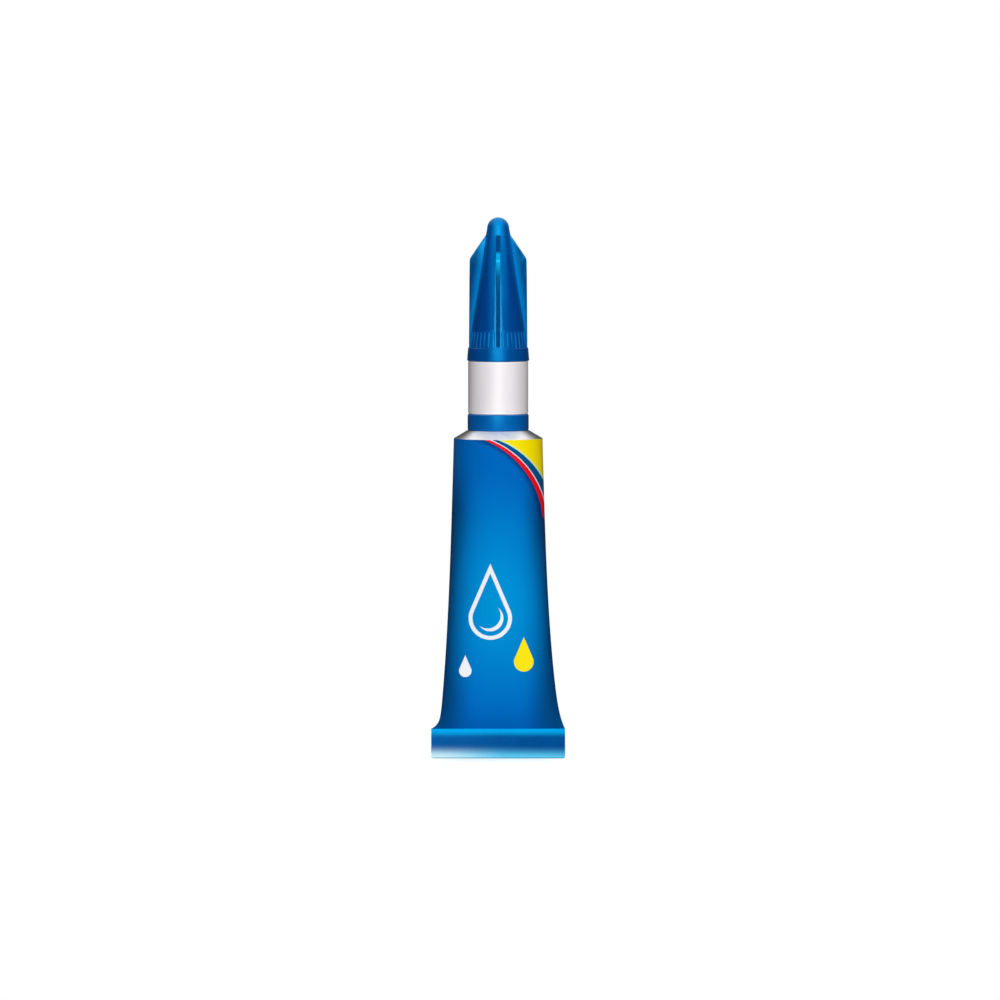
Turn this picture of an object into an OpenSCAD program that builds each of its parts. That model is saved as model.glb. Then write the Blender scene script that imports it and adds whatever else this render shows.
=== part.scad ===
// Super glue tube: a folded aluminium tube, a screw-on nozzle with its safety ring, and a winged cap.
// Millimetres. The origin is the middle of the fold's bottom edge, +Z runs up the tube to the cap,
// and the printed front faces -Y.

/* [Tube] */
// Outer diameter of the round end
tube_d = 13.5; // [12:0.1:16]
// Length of the wall, from the shoulder down to the fold
wall_len = 44.3; // [35:0.1:60]
// Thickness of the aluminium wall
wall_t = 0.12; // [0.08:0.01:0.2]
// Width of the flattened end
fold_w = 20.4; // [18:0.1:25]
// Height of the folded strip
fold_h = 4.5; // [3:0.1:7]
// Gap between the plies of the fold
ply_gap = 0.08; // [0.04:0.01:0.2]
// Inside radius of the bends at the foot of the fold
bend_r = 0.04; // [0.02:0.01:0.08]
// Empty room between the shoulder and the glue's surface
headspace = 3.1; // [1:0.1:20]

/* [Shoulder and neck] */
// Height of the sloping shoulder
shoulder_h = 1.2; // [0.8:0.1:4]
// Thickness of the shoulder under the ring's seat
shoulder_t = 0.8; // [0.5:0.05:1.1]
// Width of the shoulder's flat rim, which the wall hangs from
rim_w = 0.6; // [0.3:0.05:1]
// Outer diameter of the threaded neck
neck_d = 7; // [6:0.1:8]
// Height of the neck above the shoulder
neck_h = 7.3; // [6:0.1:10]
// Thickness of the neck's wall
neck_wall = 0.9; // [0.6:0.05:1.4]
// Thickness of the membrane that closes the neck
membrane_t = 0.15; // [0.1:0.01:0.4]

/* [Safety ring] */
// Height of the ring, which is also how far the nozzle can drop once the ring is gone
ring_h = 2.5; // [1.5:0.1:4]
// How far the ring stands out past the nozzle's collar
ring_proud = 0.08; // [0.02:0.01:0.2]
// Radius of the ring's rounded edges
ring_round = 0.25; // [0.1:0.05:0.5]
// Height of the lip that clips into the collar
lip_h = 0.7; // [0.5:0.05:1.2]
// Thickness of the lip
lip_t = 0.35; // [0.2:0.05:0.5]
// How far the lip's bead stands out
bead_h = 0.05; // [0.03:0.01:0.1]

/* [Nozzle] */
// Wall of the collar around the neck
collar_wall = 1.02; // [0.9:0.02:1.6]
// Thickness between the neck's room and the top of the collar
collar_roof = 0.6; // [0.4:0.05:1.5]
// Room left above the neck when the nozzle is screwed right down
neck_room = 0.2; // [0.1:0.05:0.5]
// Bevel round the collar's edges
collar_bevel = 0.15; // [0.05:0.01:0.3]
// Outer diameter of the thread for the cap
stub_d = 6.8; // [6:0.1:7.4]
// Height of the thread for the cap
stub_h = 4; // [3:0.1:5]
// Diameter of the spout at its foot
spout_base_d = 4.4; // [3.6:0.1:5]
// Diameter of the spout at its tip
spout_tip_d = 2.2; // [1.8:0.1:2.8]
// Length of the spout
spout_h = 9.5; // [7:0.1:10.5]
// Diameter of the piercing spike at its root
spike_base_d = 3; // [2:0.1:4]
// Diameter of the piercing spike at its point
spike_tip_d = 1.3; // [1.2:0.05:1.8]
// Gap between the spike and the membrane before first use
spike_gap = 0.3; // [0.1:0.05:0.8]

/* [Cap] */
// Height of the cap
cap_h = 21.8; // [21:0.1:27]
// Wall of the cap round its thread
cap_wall = 0.97; // [0.8:0.01:1.4]
// Height of the flange at the cap's foot
flange_h = 2; // [1.2:0.1:3]
// Step from the cone out to the top of the flange
flange_step = 0.15; // [0.1:0.01:0.4]
// How much the flange widens towards its foot
flange_flare = 0.17; // [0:0.01:0.3]
// Diameter at the top of the cone
cone_top_d = 3.84; // [3.4:0.02:4.6]
// Length of the rounded tip above the cone
tip_h = 3.4; // [2.6:0.1:4.5]
// Diameter of the rounded tip
tip_d = 3.36; // [2.8:0.02:3.8]
// Thickness of the cap above the pin
pin_roof = 2.6; // [1.2:0.1:3]

/* [Wings and ribs] */
// Number of wings
wing_count = 4; // [2:1:6]
// How far below the cap's top the wings begin
wing_drop = 2.4; // [1.8:0.1:4]
// Height of the sloping ends of the wings
wing_slope_h = 3.9; // [2:0.1:6]
// How far the wings draw in from the cone's foot to their corner
wing_draw = 0.07; // [0:0.01:0.5]
// Thickness of a wing at its outer edge
wing_edge_t = 0.6; // [0.4:0.05:1]
// Thickness of a wing at its root
wing_root_t = 1.2; // [0.8:0.05:1.8]
// Number of grip ribs, counting the places that the wings take
rib_count = 36; // [24:12:48]
// Height of the grip ribs
rib_h = 2.45; // [1.5:0.05:4]
// Thickness of a grip rib
rib_d = 0.44; // [0.3:0.02:0.5]

/* [Pin and seal] */
// Diameter of the sealing pin
pin_d = 0.8; // [0.6:0.05:0.85]
// How far the pin reaches into the spout
pin_reach = 3.6; // [2:0.1:6]
// Play between the pin and the spout's bore
pin_play = 0.1; // [0.06:0.01:0.12]
// Room between the cap and the foot of the spout
spout_room = 0.95; // [0.5:0.05:1.1]
// Diameter of the soft seal on the spout's tip
seal_d = 2.9; // [2.6:0.05:3.2]
// Thickness of the soft seal
seal_t = 1.2; // [0.8:0.05:1.6]

/* [Fits] */
// Running clearance on the radius of screwed and turned fits
fit = 0.05; // [0.03:0.01:0.1]
// Clearance between the glue and the wall
glue_gap = 0.03; // [0.02:0.01:0.06]
// Half the gap between the walls where the hollow ends above the fold
pinch_gap = 0.15; // [0.1:0.01:0.4]

/* [Hidden] */
$fn = 64;

// How far a cut runs out past a face
overrun = 0.5;

// Counts for the lofted wall and the drawn arcs
loft_sides = 48;
loft_rings = 20;
arc_steps = 6;
dome_steps = 10;
rib_sides = 8;

// How the wall's edges run out from round to flat: the shares that follow a straight line and a curve,
// and the powers of the curve and of the flare just above the fold. The left edge is pinched in lower
// down than the right one.
straight_share = 0.36;
curve_power = 3.5;
left_curve_share = 0.28;
left_flare_power = 68;
right_curve_share = 0.45;
right_flare_power = 24;

// Share of a grip rib's thickness by which its middle lies inside the cone
rib_sink_share = 0.25;

// Two walls pressed together make one ply of the fold, and the plies lie one pitch apart
ply = 2 * wall_t;
ply_pitch = ply + ply_gap;
foot_r = ply / 2 + bend_r;

// Heights up the stack of pieces
wall_top_z = fold_h + wall_len;
seat_z = wall_top_z + shoulder_h;
neck_top_z = seat_z + neck_h;
collar_z = seat_z + ring_h;
ceiling_z = neck_top_z + ring_h + neck_room;
cap_z = ceiling_z + collar_roof;
stub_top_z = cap_z + stub_h;
spout_top_z = stub_top_z + spout_h;
seal_top_z = spout_top_z + seal_t;
pin_top_z = cap_z + cap_h - pin_roof;
spike_z = neck_top_z + spike_gap;

// Radii of the fits, from the neck outwards and from the cap's thread outwards
neck_r = neck_d / 2;
nozzle_bore_r = neck_r + fit;
collar_r = nozzle_bore_r + collar_wall;
ring_r = collar_r + ring_proud;
ring_bore_r = neck_r + 2 * fit;
lip_r = ring_bore_r + lip_t;
socket_r = lip_r + fit;
stub_r = stub_d / 2;
cap_bore_r = stub_r + fit;
cone_foot_r = cap_bore_r + cap_wall;
flange_top_r = cone_foot_r + flange_step;
flange_r = flange_top_r + flange_flare;
tip_r = tip_d / 2;
pin_r = pin_d / 2;
orifice_r = pin_r + pin_play;
seal_seat_r = seal_d / 2 + fit;

// Heights inside the cap, from its foot
cone_h = cap_h - tip_h;
wing_top_h = cap_h - wing_drop;
wing_corner_h = wing_top_h - wing_slope_h;
thread_room_h = stub_h + neck_room;

// Points on an arc about a centre, in the plane of a profile
function arc(centre, r, from, to, steps) =
    [for (i = [0:steps]) let (a = from + (to - from) * i / steps) centre + r * [cos(a), sin(a)]];

// The wall's form at a share t of the way from the shoulder down to the fold: it flattens in a
// straight line, so that the tube lies on its shoulder and its fold
function edge(t, curve_share, flare_power) =
    let (flare_share = 1 - straight_share - curve_share)
    (tube_d + (fold_w - tube_d) *
        (straight_share * t + curve_share * pow(t, curve_power) + flare_share * pow(t, flare_power))) / 2;
function left_edge(t) = edge(t, left_curve_share, left_flare_power);
function right_edge(t) = edge(t, right_curve_share, right_flare_power);
function half_width(t) = (right_edge(t) + left_edge(t)) / 2;
function middle(t) = (right_edge(t) - left_edge(t)) / 2;
function half_depth(t) = (tube_d + (ply - tube_d) * t) / 2;
function wall_z(t) = wall_top_z - wall_len * t;
function depth_share(depth) = (tube_d - depth) / (tube_d - ply);
function section(t, inset) =
    [for (k = [0:loft_sides - 1]) let (a = 360 * k / loft_sides)
        [middle(t) + (half_width(t) - inset) * cos(a), (half_depth(t) - inset) * sin(a), wall_z(t)]];

// Shares at which the sections stand, closer together towards the fold
ring_shares = [for (i = [0:loft_rings]) 1 - pow(1 - i / loft_rings, 2)];
function shares_between(top, end) =
    concat([top], [for (t = ring_shares) if (t > top && t < end) t], [end]);

// Faces between stacked sections that start at a given point, seen clockwise from outside
function around(first, k) = first + k % loft_sides;
function side_faces(first, rings) =
    [for (i = [0:rings - 2], k = [0:loft_sides - 1], half = [0, 1])
        let (upper = first + i * loft_sides, lower = upper + loft_sides)
        half == 0 ? [around(upper, k), around(upper, k + 1), around(lower, k + 1)]
                  : [around(upper, k), around(lower, k + 1), around(lower, k)]];
function flipped(faces) = [for (f = faces) [for (i = [len(f) - 1:-1:0]) f[i]]];
function disc(first) = [for (k = [0:loft_sides - 1]) first + k];
function rim_faces(outer, inner) =
    [for (k = [0:loft_sides - 1], half = [0, 1])
        half == 0 ? [around(outer, k), around(inner, k), around(inner, k + 1)]
                  : [around(outer, k), around(inner, k + 1), around(outer, k + 1)]];
function joined(lists) = [for (l = lists, x = l) x];

// The printed aluminium wall: round under the shoulder, flat at the fold, and hollow down to where
// its two sides are pinched together
module tube_wall() {
    hollow_end = depth_share(ply + 2 * pinch_gap);
    outer = ring_shares;
    inner = shares_between(0, hollow_end);
    points = concat(joined([for (t = outer) section(t, 0)]), joined([for (t = inner) section(t, wall_t)]));
    inner_first = len(outer) * loft_sides;
    faces = concat(
        side_faces(0, len(outer)),
        flipped(side_faces(inner_first, len(inner))),
        rim_faces(0, inner_first),
        [disc((len(outer) - 1) * loft_sides)],
        flipped([disc(inner_first + (len(inner) - 1) * loft_sides)]));
    color("royalblue") polyhedron(points, faces);
}

// The end of the wall, folded twice towards the front, so that the cut edge is trapped inside
module end_fold() {
    half = ply / 2;
    foot_z = half + foot_r;
    front = -2 * ply_pitch;
    crest = [front + ply_pitch / 2, fold_h - half - ply_pitch / 2];
    outer_side = concat(
        [[half, fold_h]],
        arc([-foot_r, foot_z], foot_r + half, 0, -90, arc_steps),
        arc([front + foot_r, foot_z], foot_r + half, -90, -180, arc_steps),
        arc(crest, ply_pitch / 2 + half, 180, 0, arc_steps),
        [[half - ply_pitch, ply + ply_gap]]);
    inner_side = concat(
        [[-half, fold_h]],
        arc([-foot_r, foot_z], bend_r, 0, -90, arc_steps),
        arc([front + foot_r, foot_z], bend_r, -90, -180, arc_steps),
        arc(crest, ply_pitch / 2 - half, 180, 0, arc_steps),
        [[-half - ply_pitch, ply + ply_gap]]);
    strip = concat(outer_side, [for (i = [len(inner_side) - 1:-1:0]) inner_side[i]]);
    color("royalblue")
        rotate([90, 0, 90])
            linear_extrude(height = fold_w, center = true)
                polygon(strip);
}

// The bare shoulder and neck, closed at the top by the membrane that the nozzle pierces
module tube_head() {
    rim_r = tube_d / 2;
    seat_r = ring_r + fit;
    neck_bore_r = neck_r - neck_wall;
    profile = [
        [rim_r, wall_top_z], [seat_r, seat_z], [neck_r, seat_z], [neck_r, neck_top_z], [0, neck_top_z],
        [0, neck_top_z - membrane_t], [neck_bore_r, neck_top_z - membrane_t],
        [neck_bore_r, seat_z - shoulder_t], [seat_r, seat_z - shoulder_t], [rim_r - rim_w, wall_top_z]];
    color("silver") rotate_extrude() polygon(profile);
}

// The liquid glue, standing in the tube up to its level
module glue() {
    inset = wall_t + glue_gap;
    surface = headspace / wall_len;
    glue_end = depth_share(ply + 2 * (pinch_gap + glue_gap));
    shares = shares_between(surface, glue_end);
    faces = concat(
        side_faces(0, len(shares)),
        flipped([disc(0)]),
        [disc((len(shares) - 1) * loft_sides)]);
    color("ivory") polyhedron(joined([for (t = shares) section(t, inset)]), faces);
}

// The ring that keeps the nozzle up until first use, with the lip that clips it into the collar
module safety_ring() {
    rounded = ring_r - ring_round;
    lip_z = collar_z + lip_h;
    profile = concat(
        [[ring_bore_r, seat_z]],
        arc([rounded, seat_z + ring_round], ring_round, -90, 0, arc_steps),
        arc([rounded, collar_z - ring_round], ring_round, 0, 90, arc_steps),
        [[lip_r, collar_z], [lip_r, lip_z - lip_t], [lip_r + bead_h, lip_z - lip_t / 2], [lip_r, lip_z],
         [ring_bore_r, lip_z]]);
    color("mediumblue") rotate_extrude() polygon(profile);
}

// The white nozzle: the collar that screws onto the neck, the thread for the cap, the spout, and the
// hollow spike that waits above the membrane
module nozzle() {
    groove_r = lip_r + bead_h + fit;
    lip_z = collar_z + lip_h;
    profile = [
        [collar_r - collar_bevel, collar_z], [collar_r, collar_z + collar_bevel],
        [collar_r, cap_z - collar_bevel], [collar_r - collar_bevel, cap_z],
        [stub_r, cap_z], [stub_r, stub_top_z],
        [spout_base_d / 2, stub_top_z], [spout_tip_d / 2, spout_top_z], [orifice_r, spout_top_z],
        [orifice_r, spike_z], [spike_tip_d / 2, spike_z], [spike_base_d / 2, ceiling_z],
        [nozzle_bore_r, ceiling_z], [nozzle_bore_r, lip_z + fit],
        [socket_r, lip_z + fit], [groove_r, lip_z - lip_t / 2], [socket_r, lip_z - lip_t - fit],
        [socket_r, collar_z]];
    color("white") rotate_extrude() polygon(profile);
}

// The soft seal that the closed cap presses onto the spout's tip
module spout_seal() {
    color("gainsboro")
        translate([0, 0, spout_top_z])
            rotate_extrude()
                translate([pin_r + fit, 0]) square([seal_d / 2 - pin_r - fit, seal_t]);
}

// The pin in the cap that keeps the spout's bore open, with a point at its lower end
module sealing_pin() {
    foot_z = spout_top_z - pin_reach;
    profile = [[0, foot_z], [pin_r, foot_z + pin_d], [pin_r, pin_top_z], [0, pin_top_z]];
    color("silver") rotate_extrude() polygon(profile);
}

// One wing of the cap: a tapered blade, cut to the outline seen from the side
module wing() {
    root_r = tip_r / 2;
    corner_r = cone_foot_r - wing_draw;
    root_half = wing_root_t / 2;
    edge_half = wing_edge_t / 2;
    blade = [[0, root_half], [flange_r, edge_half], [flange_r, -edge_half], [0, -root_half]];
    outline = [
        [root_r, flange_h / 2], [cone_foot_r, flange_h / 2], [cone_foot_r, flange_h],
        [corner_r, wing_corner_h], [tip_r, wing_top_h], [root_r, wing_top_h]];
    intersection() {
        linear_extrude(height = cap_h) polygon(blade);
        rotate([90, 0, 0]) linear_extrude(height = wing_root_t, center = true) polygon(outline);
    }
}

// The grip ribs round the foot of the cone, left out where the wings stand
module grip_ribs() {
    lean = atan((cone_foot_r - cone_top_d / 2) / (cone_h - flange_h));
    for (i = [0:rib_count - 1])
        if ((i * wing_count) % rib_count != 0)
            rotate(360 * i / rib_count)
                translate([cone_foot_r - rib_d * rib_sink_share, 0, flange_h])
                    rotate([0, -lean, 0])
                        translate([0, 0, -flange_h / 2])
                            cylinder(d = rib_d, h = rib_h + flange_h / 2, $fn = rib_sides);
}

// The winged cap: a hollow cone on a flange, with a rounded tip, a threaded mouth, room for the spout,
// the seat of the seal and the socket of the pin
module cap() {
    outside = concat(
        [[0, 0], [flange_r, 0], [flange_top_r, flange_h]],
        [[cone_foot_r, flange_h], [cone_top_d / 2, cone_h]],
        arc([0, cap_h - tip_r], tip_r, 0, 90, dome_steps));
    seal_foot = spout_top_z - cap_z;
    seal_top = seal_top_z - cap_z;
    pin_top = pin_top_z - cap_z;
    inside = [
        [0, -overrun], [cap_bore_r, -overrun], [cap_bore_r, thread_room_h],
        [spout_base_d / 2 + spout_room, thread_room_h],
        [seal_seat_r, seal_foot - seal_t], [seal_seat_r, seal_top],
        [pin_r + fit, seal_top], [pin_r + fit, pin_top], [0, pin_top]];
    color("mediumblue")
        translate([0, 0, cap_z])
            difference() {
                union() {
                    rotate_extrude() polygon(outside);
                    for (i = [0:wing_count - 1])
                        rotate(360 * i / wing_count) wing();
                    grip_ribs();
                }
                rotate_extrude() polygon(inside);
            }
}

tube_wall();
end_fold();
tube_head();
glue();
safety_ring();
nozzle();
spout_seal();
sealing_pin();
cap();
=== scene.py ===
import math

import bmesh
import bpy
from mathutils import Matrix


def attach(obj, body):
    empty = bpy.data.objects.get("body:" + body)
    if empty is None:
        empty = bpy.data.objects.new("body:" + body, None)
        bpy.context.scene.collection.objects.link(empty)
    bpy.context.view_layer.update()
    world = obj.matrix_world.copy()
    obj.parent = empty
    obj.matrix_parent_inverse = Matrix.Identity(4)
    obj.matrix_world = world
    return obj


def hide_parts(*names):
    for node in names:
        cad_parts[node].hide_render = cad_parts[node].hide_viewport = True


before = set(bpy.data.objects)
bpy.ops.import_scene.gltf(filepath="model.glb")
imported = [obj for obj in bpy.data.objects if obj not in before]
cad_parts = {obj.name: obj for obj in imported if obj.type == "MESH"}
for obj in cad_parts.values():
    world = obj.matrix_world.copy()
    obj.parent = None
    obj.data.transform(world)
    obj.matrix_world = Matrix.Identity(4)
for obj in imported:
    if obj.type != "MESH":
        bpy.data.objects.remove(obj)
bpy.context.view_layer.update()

# All sizes below are in millimetres, and mm turns them into Blender's metres
mm = 0.001

# Heights up the stack of pieces
FOLD_TOP = 4.5
WALL_TOP = 48.8
SEAT = 50.0
COLLAR_FOOT = 52.5
LIP_TOP = 53.2
NECK_TOP = 57.3
CAP_FOOT = 60.6
STUB_TOP = 64.6
PIN_FOOT = 70.5
SPOUT_TOP = 74.1
SEAL_TOP = 75.3
PIN_TOP = 79.8
CAP_TOP = 82.4

# Tube, with the shares of the wall's length at which its sections stand
WALL_SHARES = [1 - (1 - i / 36) ** 2 for i in range(37)]
HOLLOW_END = 0.9774
GLUE_END = 0.97
GLUE_BELOW_TOP = 3.1
TUBE_R = 6.75
WALL_T = 0.12
FOLD_HALF = 10.2
FOLD_CORNER_R = 0.35
PLY = 0.24
PLY_PITCH = 0.32

# Neck, ring, nozzle, seal and pin, which turn in each other with a gap on the radius
TURN_GAP = 0.05
THREAD_DEPTH = 0.45
NECK_R = 3.5
NECK_BORE_R = 2.6
NECK_PITCH = 1.25
RING_R = 4.65
RING_BORE_R = 3.6
LIP_R = 3.95
BEAD = 0.05
COLLAR_R = 4.57
STUB_R = 3.4
CAP_PITCH = 1.5
SPOUT_BORE_R = 0.5
SEAL_R = 1.45
PIN_R = 0.4

# Cap
FLANGE_R = 4.72
FLANGE_TOP_R = 4.58
CONE_FOOT_R = 4.42
CONE_FOOT = 62.6
CONE_TOP_R = 1.92
CONE_TOP = 79.0
TIP_R = 1.68
WING_T = 0.74
WING_CORNER_R = 4.35
WING_CORNER = 76.1
WING_TOP = 80.0
RIB_R = 0.22
RIB_LEN = 3.45
RIB_TOP = 65.05
RIB_PLACES = 36
WINGS = 4

# Print: a drop is the place of its middle, its radius, and its tip's height above its middle
GREAT_DROP = (-1.2, 21.5, 3.3, 8.4)
YELLOW_DROP = (3.9, 14.8, 1.5, 3.8)
SMALL_DROP = (-5.0, 13.4, 0.95, 2.4)
DROP_LINE = 0.6
GLINT_R = 2.0
GLINT_SHIFT = 0.42

# An arc of the printed corner is its middle, its radius, and the height above its middle where it leans out
RED_EDGE = (-7.4, 35.59, 14.27, 1.4)
FIRST_LINE = (-6.24, 36.15, 13.64, 0)
SECOND_LINE = (-4.5, 36.96, 12.79, 0)

# Studio, with the camera's rise in degrees
FLOOR_R = 1400
FULL_SHADOW_R = 12
SHADOW_END_R = 60
FLAG_R = 140
WORLD_LEVEL = 0.52
LAMP_AIM = (0, 0, 45)
CAMERA_AIM = (0.28, 0, 39.38)
CAMERA_DISTANCE = 1800
CAMERA_RISE = 2.8
VIEW_WIDTH = 152.2
SENSOR = 36


# Hand tools

def let_go():
    """Leave edit mode and deselect everything."""
    if bpy.context.object and bpy.context.object.mode != "OBJECT":
        bpy.ops.object.mode_set(mode="OBJECT")
    bpy.ops.object.select_all(action="DESELECT")


def pick(piece):
    """Take one piece in hand."""
    let_go()
    piece.select_set(True)
    bpy.context.view_layer.objects.active = piece


def named(name, size=None):
    """Name the form just added, give a form of size 1 its real size, and put its place into its mesh."""
    piece = bpy.context.object
    piece.name = name
    piece.data.name = name
    if size:
        piece.scale = [length * mm for length in size]
    bpy.ops.object.transform_apply(location=True, rotation=True, scale=True)
    return piece


def heal(piece):
    """Merge what lies on the same spot and turn all faces outwards."""
    pick(piece)
    bpy.ops.object.mode_set(mode="EDIT")
    bpy.ops.mesh.select_all(action="SELECT")
    bpy.ops.mesh.remove_doubles(threshold=0.0005 * mm)
    bpy.ops.mesh.normals_make_consistent(inside=False)
    bpy.ops.object.mode_set(mode="OBJECT")


def select_where(piece, test):
    """In edit mode, select the vertices whose place in millimetres passes a test."""
    form = bmesh.from_edit_mesh(piece.data)
    bpy.ops.mesh.select_all(action="DESELECT")
    for vertex in form.verts:
        vertex.select = test(vertex.co.x / mm, vertex.co.y / mm, vertex.co.z / mm)
    form.select_flush(True)
    bmesh.update_edit_mesh(piece.data)


def cut_off(place, outward):
    """In edit mode, cut the whole form with a plane, close the cut and drop what lies outward of it."""
    length = math.hypot(*outward)
    bpy.ops.mesh.select_all(action="SELECT")
    bpy.ops.mesh.bisect(
        plane_co=(place[0] * mm, 0, place[1] * mm),
        plane_no=(outward[0] / length, 0, outward[1] / length),
        threshold=0.0001 * mm, use_fill=True, clear_outer=True)


def drawn_up(name, rings, sides, filled):
    """A form drawn ring by ring from one circle. A ring is its half width, its half depth, its shift
    to the right and its height. A filled start closes both ends, and an open one leaves a ring."""
    let_go()
    width, depth, shift, height = rings[0]
    bpy.ops.mesh.primitive_circle_add(
        vertices=sides, radius=width * mm, location=(shift * mm, 0, height * mm),
        fill_type="TRIFAN" if filled else "NOTHING")
    piece = named(name)
    bpy.ops.object.mode_set(mode="EDIT")
    bpy.ops.mesh.select_all(action="SELECT")
    bpy.ops.transform.resize(
        value=(1, depth / width, 1), center_override=(shift * mm, 0, height * mm))
    for last, ring in zip(rings, rings[1:]):
        step = ((ring[2] - last[2]) * mm, 0, (ring[3] - last[3]) * mm)
        bpy.ops.mesh.extrude_region_move(TRANSFORM_OT_translate={"value": step})
        bpy.ops.transform.resize(
            value=(ring[0] / last[0], ring[1] / last[1], 1),
            center_override=(ring[2] * mm, 0, ring[3] * mm))
    heal(piece)
    return piece


def turned(name, profile, sides=96, filled=False):
    """A round form from a profile of radius and height, from one end to the other."""
    return drawn_up(name, [(r, r, 0, z) for r, z in profile], sides, filled)


def arc(middle_r, middle_z, radius, start, end, steps):
    """Points of a profile on an arc, with its angles in degrees from straight outwards."""
    angles = [math.radians(start + (end - start) * i / steps) for i in range(steps + 1)]
    return [(middle_r + radius * math.cos(a), middle_z + radius * math.sin(a)) for a in angles]


def eased(piece, width, steps=3, sharper_than=35):
    """Round the edges that are sharper than an angle."""
    pick(piece)
    bpy.ops.object.modifier_add(type="BEVEL")
    bevel = piece.modifiers[-1]
    bevel.width = width * mm
    bevel.segments = steps
    bevel.limit_method = "ANGLE"
    bevel.angle_limit = math.radians(sharper_than)
    bevel.miter_outer = "MITER_ARC"
    bpy.ops.object.modifier_apply(modifier=bevel.name)
    return piece


def united(piece, other):
    """Join another form to a piece, and put the other form away."""
    pick(piece)
    bpy.ops.object.modifier_add(type="BOOLEAN")
    boolean = piece.modifiers[-1]
    boolean.operation = "UNION"
    boolean.solver = "EXACT"
    boolean.object = other
    bpy.ops.object.modifier_apply(modifier=boolean.name)
    pick(other)
    bpy.ops.object.delete()
    return piece


def copies_round(piece, angles):
    """The piece turned about the upright axis to each angle in degrees, all in one mesh."""
    turned_copies = []
    for angle in angles:
        pick(piece)
        bpy.ops.object.duplicate()
        bpy.ops.transform.rotate(
            value=math.radians(-angle), orient_axis="Z", center_override=(0, 0, 0))
        bpy.ops.object.transform_apply(location=True, rotation=True, scale=True)
        turned_copies.append(bpy.context.object)
    pick(piece)
    bpy.ops.object.delete()
    let_go()
    for copy in turned_copies:
        copy.select_set(True)
    bpy.context.view_layer.objects.active = turned_copies[0]
    bpy.ops.object.join()
    return bpy.context.object


def thread_ridge(name, foot_r, crest_r, start, pitch, turns):
    """A screw thread's ridge: its section set beside the axis, wound upwards and run out at both ends."""
    steps_per_turn = 48
    steps = int(steps_per_turn * turns)
    run_out = 9
    crest_share = 0.35
    foot_width = 0.7 * pitch
    lowest_r = foot_r + 0.05
    middle_r = (foot_r + crest_r) / 2
    middle_z = start + foot_width / 2
    let_go()
    bpy.ops.mesh.primitive_plane_add(
        size=1, location=(middle_r * mm, 0, middle_z * mm), rotation=(math.radians(90), 0, 0))
    ridge = named(name, (crest_r - foot_r, foot_width, 1))
    bpy.ops.object.mode_set(mode="EDIT")
    select_where(ridge, lambda x, y, z: x > middle_r)
    bpy.ops.transform.resize(value=(1, 1, crest_share), center_override=(0, 0, middle_z * mm))
    bpy.ops.mesh.select_all(action="SELECT")
    bpy.ops.mesh.delete(type="ONLY_FACE")
    bpy.ops.object.mode_set(mode="OBJECT")
    bpy.ops.object.modifier_add(type="SCREW")
    winding = ridge.modifiers[-1]
    winding.axis = "Z"
    winding.angle = 2 * math.pi * turns
    winding.screw_offset = pitch * turns * mm
    winding.steps = steps
    winding.render_steps = steps
    winding.use_merge_vertices = False
    bpy.ops.object.modifier_apply(modifier=winding.name)
    bpy.ops.object.mode_set(mode="EDIT")
    for i in range(run_out):
        low_r = lowest_r + (crest_r - lowest_r) * i / run_out
        for step in (i, steps - i):
            turned_by = 2 * math.pi * turns * step / steps
            level = middle_z + pitch * turns * step / steps
            out_x, out_y = math.cos(turned_by), math.sin(turned_by)

            def on_crest(x, y, z):
                """Whether a place is on the ridge's crest at this step."""
                outward = x * out_x + y * out_y
                sideways = y * out_x - x * out_y
                return outward > middle_r and abs(sideways) < 0.1 and abs(z - level) < 0.3 * pitch

            select_where(ridge, on_crest)
            bpy.ops.transform.resize(
                value=(low_r / crest_r, low_r / crest_r, 1), center_override=(0, 0, 0))
    bpy.ops.mesh.select_all(action="SELECT")
    bpy.ops.mesh.fill_holes(sides=0)
    bpy.ops.object.mode_set(mode="OBJECT")
    heal(ridge)
    return ridge


# Pieces

def wall_ring(t, inset):
    """The wall's section at a share t of the way down to the fold. Each edge runs out in three parts:
    evenly, then faster, and last in a pinch, which is shorter and stronger on the left."""
    run_out = FOLD_HALF - TUBE_R
    left = TUBE_R + run_out * (0.36 * t + 0.28 * t ** 3.5 + 0.36 * t ** 68)
    right = TUBE_R + run_out * (0.36 * t + 0.45 * t ** 3.5 + 0.19 * t ** 24)
    depth = TUBE_R + (PLY / 2 - TUBE_R) * t
    height = WALL_TOP - (WALL_TOP - FOLD_TOP) * t
    return (left + right) / 2 - inset, depth - inset, (right - left) / 2, height


def printed_wall():
    """The wall: round under the shoulder and flat at the fold, and hollow down to its pinched foot."""
    inner = [HOLLOW_END] + [t for t in reversed(WALL_SHARES) if t < HOLLOW_END]
    rings = [wall_ring(t, WALL_T) for t in inner] + [wall_ring(t, 0) for t in WALL_SHARES]
    return drawn_up("printed_wall", rings, 128, True)


def liquid_glue():
    """The glue, which clings to the wall a little at its surface."""
    surface = GLUE_BELOW_TOP / (WALL_TOP - FOLD_TOP)
    inset = WALL_T + 0.04
    width, depth, shift, height = wall_ring(surface, inset)
    clinging = [(4, 0.4), (2, 0.4), (1.2, 0.37), (0.7, 0.3), (0.35, 0.18), (0.12, 0.05)]
    hollow = [(width - off, depth - off, shift, height - drop) for off, drop in clinging]
    shares = [surface] + [t for t in WALL_SHARES if surface < t < GLUE_END]
    return drawn_up("liquid_glue", hollow + [wall_ring(t, inset) for t in shares], 96, True)


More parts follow.
